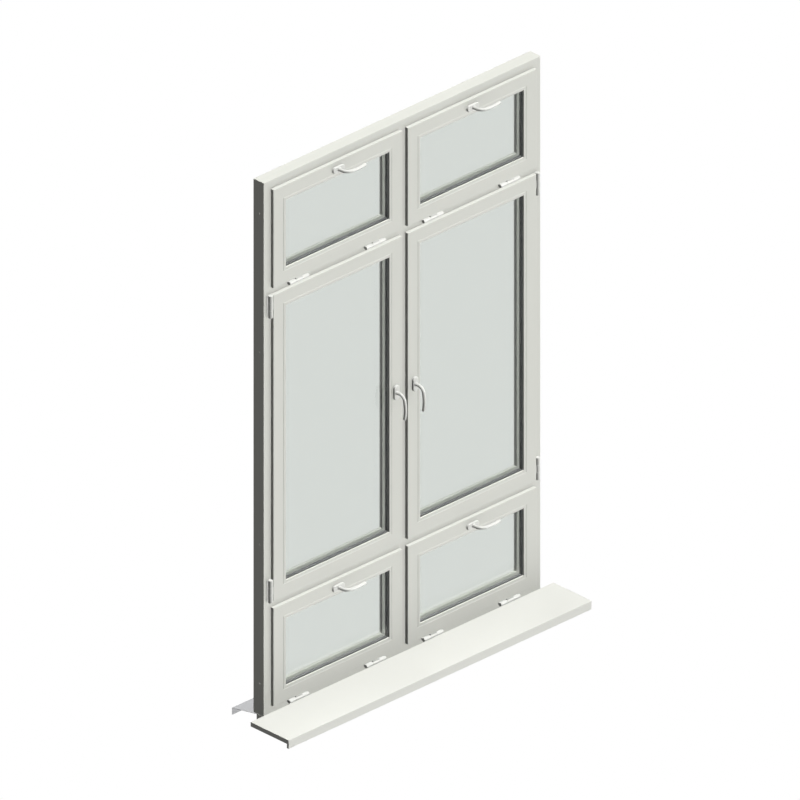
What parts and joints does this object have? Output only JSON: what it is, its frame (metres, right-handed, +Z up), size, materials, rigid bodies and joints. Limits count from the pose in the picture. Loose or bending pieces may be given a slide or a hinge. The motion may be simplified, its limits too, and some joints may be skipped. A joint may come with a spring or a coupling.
{
  "type": "casement window",
  "caption": "White plastic casement window: tall side-hung sashes with tilting hopper sashes above and below, lever handles, indoor board and outdoor drip sill.",
  "frame": {"origin": "centre of the base profile's underside, midway across the window's width", "axes": "+Z up the frame, +Y from indoors to outdoors, +X to the right seen from indoors"},
  "size_m": [1.75, 0.412, 2.561],
  "materials": {
    "frame_upvc": "white rigid plastic, satin",
    "sash_upvc": "white rigid plastic, satin",
    "bead_upvc": "white rigid plastic, satin",
    "board_upvc": "white film on hollow rigid plastic",
    "coated_sheet": "white coating on folded aluminium sheet",
    "coated_metal": "white powder coating",
    "steel": "zinc plated",
    "seal_rubber": "light grey weather seal",
    "glass": "clear double glazing with a spacer bar"
  },
  "bodies": {
    "frame": {"outer_frame": "frame_upvc", "mullion": "frame_upvc", "transoms": "frame_upvc", "base_profile": "frame_upvc", "window_board": "board_upvc", "drip_sill": "coated_sheet", "frame_seals": "seal_rubber", "frame_hardware": "coated_metal"},
    "upper_left_sash": {"upper_left_sash_frame": "sash_upvc", "upper_left_glazing_beads": "bead_upvc", "upper_left_glass_unit": "glass", "upper_left_gaskets": "seal_rubber", "upper_left_handle_base": "coated_metal", "upper_left_sash_hardware": "coated_metal"},
    "upper_left_lever": {"upper_left_handle_lever": "coated_metal"},
    "upper_left_rod": {"upper_left_drive_rod": "steel"},
    "upper_left_stays": {"upper_left_stay_arms": "steel"},
    "upper_right_sash": {"upper_right_sash_frame": "sash_upvc", "upper_right_glazing_beads": "bead_upvc", "upper_right_glass_unit": "glass", "upper_right_gaskets": "seal_rubber", "upper_right_handle_base": "coated_metal", "upper_right_sash_hardware": "coated_metal"},
    "upper_right_lever": {"upper_right_handle_lever": "coated_metal"},
    "upper_right_rod": {"upper_right_drive_rod": "steel"},
    "upper_right_stays": {"upper_right_stay_arms": "steel"},
    "middle_left_sash": {"middle_left_sash_frame": "sash_upvc", "middle_left_glazing_beads": "bead_upvc", "middle_left_glass_unit": "glass", "middle_left_gaskets": "seal_rubber", "middle_left_handle_base": "coated_metal", "middle_left_sash_hardware": "coated_metal"},
    "middle_left_lever": {"middle_left_handle_lever": "coated_metal"},
    "middle_left_rod": {"middle_left_drive_rod": "steel"},
    "middle_right_sash": {"middle_right_sash_frame": "sash_upvc", "middle_right_glazing_beads": "bead_upvc", "middle_right_glass_unit": "glass", "middle_right_gaskets": "seal_rubber", "middle_right_handle_base": "coated_metal", "middle_right_sash_hardware": "coated_metal"},
    "middle_right_lever": {"middle_right_handle_lever": "coated_metal"},
    "middle_right_rod": {"middle_right_drive_rod": "steel"},
    "lower_left_sash": {"lower_left_sash_frame": "sash_upvc", "lower_left_glazing_beads": "bead_upvc", "lower_left_glass_unit": "glass", "lower_left_gaskets": "seal_rubber", "lower_left_handle_base": "coated_metal", "lower_left_sash_hardware": "coated_metal"},
    "lower_left_lever": {"lower_left_handle_lever": "coated_metal"},
    "lower_left_rod": {"lower_left_drive_rod": "steel"},
    "lower_left_stays": {"lower_left_stay_arms": "steel"},
    "lower_right_sash": {"lower_right_sash_frame": "sash_upvc", "lower_right_glazing_beads": "bead_upvc", "lower_right_glass_unit": "glass", "lower_right_gaskets": "seal_rubber", "lower_right_handle_base": "coated_metal", "lower_right_sash_hardware": "coated_metal"},
    "lower_right_lever": {"lower_right_handle_lever": "coated_metal"},
    "lower_right_rod": {"lower_right_drive_rod": "steel"},
    "lower_right_stays": {"lower_right_stay_arms": "steel"}
  },
  "joints": [
    {"name": "upper_left_tilt", "type": "hinge", "parent": "frame", "child": "upper_left_sash", "pos_m": [-0.38825, -0.0325, 2.015], "axis": [1, 0, 0], "range_deg": [0, 20]},
    {"name": "upper_left_stay_swing", "type": "hinge", "parent": "frame", "child": "upper_left_stays", "pos_m": [-0.38825, 0, 2.415], "axis": [-1, 0, 0], "range_deg": [0, 22]},
    {"name": "upper_left_handle_turn", "type": "hinge", "parent": "upper_left_sash", "child": "upper_left_lever", "pos_m": [-0.38825, -0.037, 2.452], "axis": [0, 1, 0], "range_deg": [0, 90]},
    {"name": "upper_left_rod_slide", "type": "slide", "parent": "upper_left_sash", "child": "upper_left_rod", "axis": [1, 0, 0], "range_m": [0, 0.018]},
    {"name": "upper_right_tilt", "type": "hinge", "parent": "frame", "child": "upper_right_sash", "pos_m": [0.38825, -0.0325, 2.015], "axis": [1, 0, 0], "range_deg": [0, 20]},
    {"name": "upper_right_stay_swing", "type": "hinge", "parent": "frame", "child": "upper_right_stays", "pos_m": [0.38825, 0, 2.415], "axis": [-1, 0, 0], "range_deg": [0, 22]},
    {"name": "upper_right_handle_turn", "type": "hinge", "parent": "upper_right_sash", "child": "upper_right_lever", "pos_m": [0.38825, -0.037, 2.452], "axis": [0, 1, 0], "range_deg": [0, 90]},
    {"name": "upper_right_rod_slide", "type": "slide", "parent": "upper_right_sash", "child": "upper_right_rod", "axis": [1, 0, 0], "range_m": [0, 0.018]},
    {"name": "middle_left_swing", "type": "hinge", "parent": "frame", "child": "middle_left_sash", "pos_m": [-0.772, -0.0325, 1.28], "axis": [0, 0, -1], "range_deg": [0, 90]},
    {"name": "middle_left_handle_turn", "type": "hinge", "parent": "middle_left_sash", "child": "middle_left_lever", "pos_m": [-0.0545, -0.037, 1.28], "axis": [0, 1, 0], "range_deg": [0, 90]},
    {"name": "middle_left_rod_slide", "type": "slide", "parent": "middle_left_sash", "child": "middle_left_rod", "axis": [0, 0, 1], "range_m": [0, 0.018]},
    {"name": "middle_right_swing", "type": "hinge", "parent": "frame", "child": "middle_right_sash", "pos_m": [0.772, -0.0325, 1.28], "axis": [0, 0, 1], "range_deg": [0, 90]},
    {"name": "middle_right_handle_turn", "type": "hinge", "parent": "middle_right_sash", "child": "middle_right_lever", "pos_m": [0.0545, -0.037, 1.28], "axis": [0, -1, 0], "range_deg": [0, 90]},
    {"name": "middle_right_rod_slide", "type": "slide", "parent": "middle_right_sash", "child": "middle_right_rod", "axis": [0, 0, 1], "range_m": [0, 0.018]},
    {"name": "lower_left_tilt", "type": "hinge", "parent": "frame", "child": "lower_left_sash", "pos_m": [-0.38825, -0.0325, 0.055], "axis": [1, 0, 0], "range_deg": [0, 20]},
    {"name": "lower_left_stay_swing", "type": "hinge", "parent": "frame", "child": "lower_left_stays", "pos_m": [-0.38825, 0, 0.455], "axis": [-1, 0, 0], "range_deg": [0, 22]},
    {"name": "lower_left_handle_turn", "type": "hinge", "parent": "lower_left_sash", "child": "lower_left_lever", "pos_m": [-0.38825, -0.037, 0.492], "axis": [0, 1, 0], "range_deg": [0, 90]},
    {"name": "lower_left_rod_slide", "type": "slide", "parent": "lower_left_sash", "child": "lower_left_rod", "axis": [1, 0, 0], "range_m": [0, 0.018]},
    {"name": "lower_right_tilt", "type": "hinge", "parent": "frame", "child": "lower_right_sash", "pos_m": [0.38825, -0.0325, 0.055], "axis": [1, 0, 0], "range_deg": [0, 20]},
    {"name": "lower_right_stay_swing", "type": "hinge", "parent": "frame", "child": "lower_right_stays", "pos_m": [0.38825, 0, 0.455], "axis": [-1, 0, 0], "range_deg": [0, 22]},
    {"name": "lower_right_handle_turn", "type": "hinge", "parent": "lower_right_sash", "child": "lower_right_lever", "pos_m": [0.38825, -0.037, 0.492], "axis": [0, 1, 0], "range_deg": [0, 90]},
    {"name": "lower_right_rod_slide", "type": "slide", "parent": "lower_right_sash", "child": "lower_right_rod", "axis": [1, 0, 0], "range_m": [0, 0.018]}
  ],
  "couplings": [
    {"joint": "upper_left_stay_swing", "follows": "upper_left_tilt", "ratio": 1.09},
    {"joint": "upper_left_rod_slide", "follows": "upper_left_handle_turn", "m_per_rad": 0.011459},
    {"joint": "upper_right_stay_swing", "follows": "upper_right_tilt", "ratio": 1.09},
    {"joint": "upper_right_rod_slide", "follows": "upper_right_handle_turn", "m_per_rad": 0.011459},
    {"joint": "middle_left_rod_slide", "follows": "middle_left_handle_turn", "m_per_rad": 0.011459},
    {"joint": "middle_right_rod_slide", "follows": "middle_right_handle_turn", "m_per_rad": 0.011459},
    {"joint": "lower_left_stay_swing", "follows": "lower_left_tilt", "ratio": 1.09},
    {"joint": "lower_left_rod_slide", "follows": "lower_left_handle_turn", "m_per_rad": 0.011459},
    {"joint": "lower_right_stay_swing", "follows": "lower_right_tilt", "ratio": 1.09},
    {"joint": "lower_right_rod_slide", "follows": "lower_right_handle_turn", "m_per_rad": 0.011459}
  ]
}
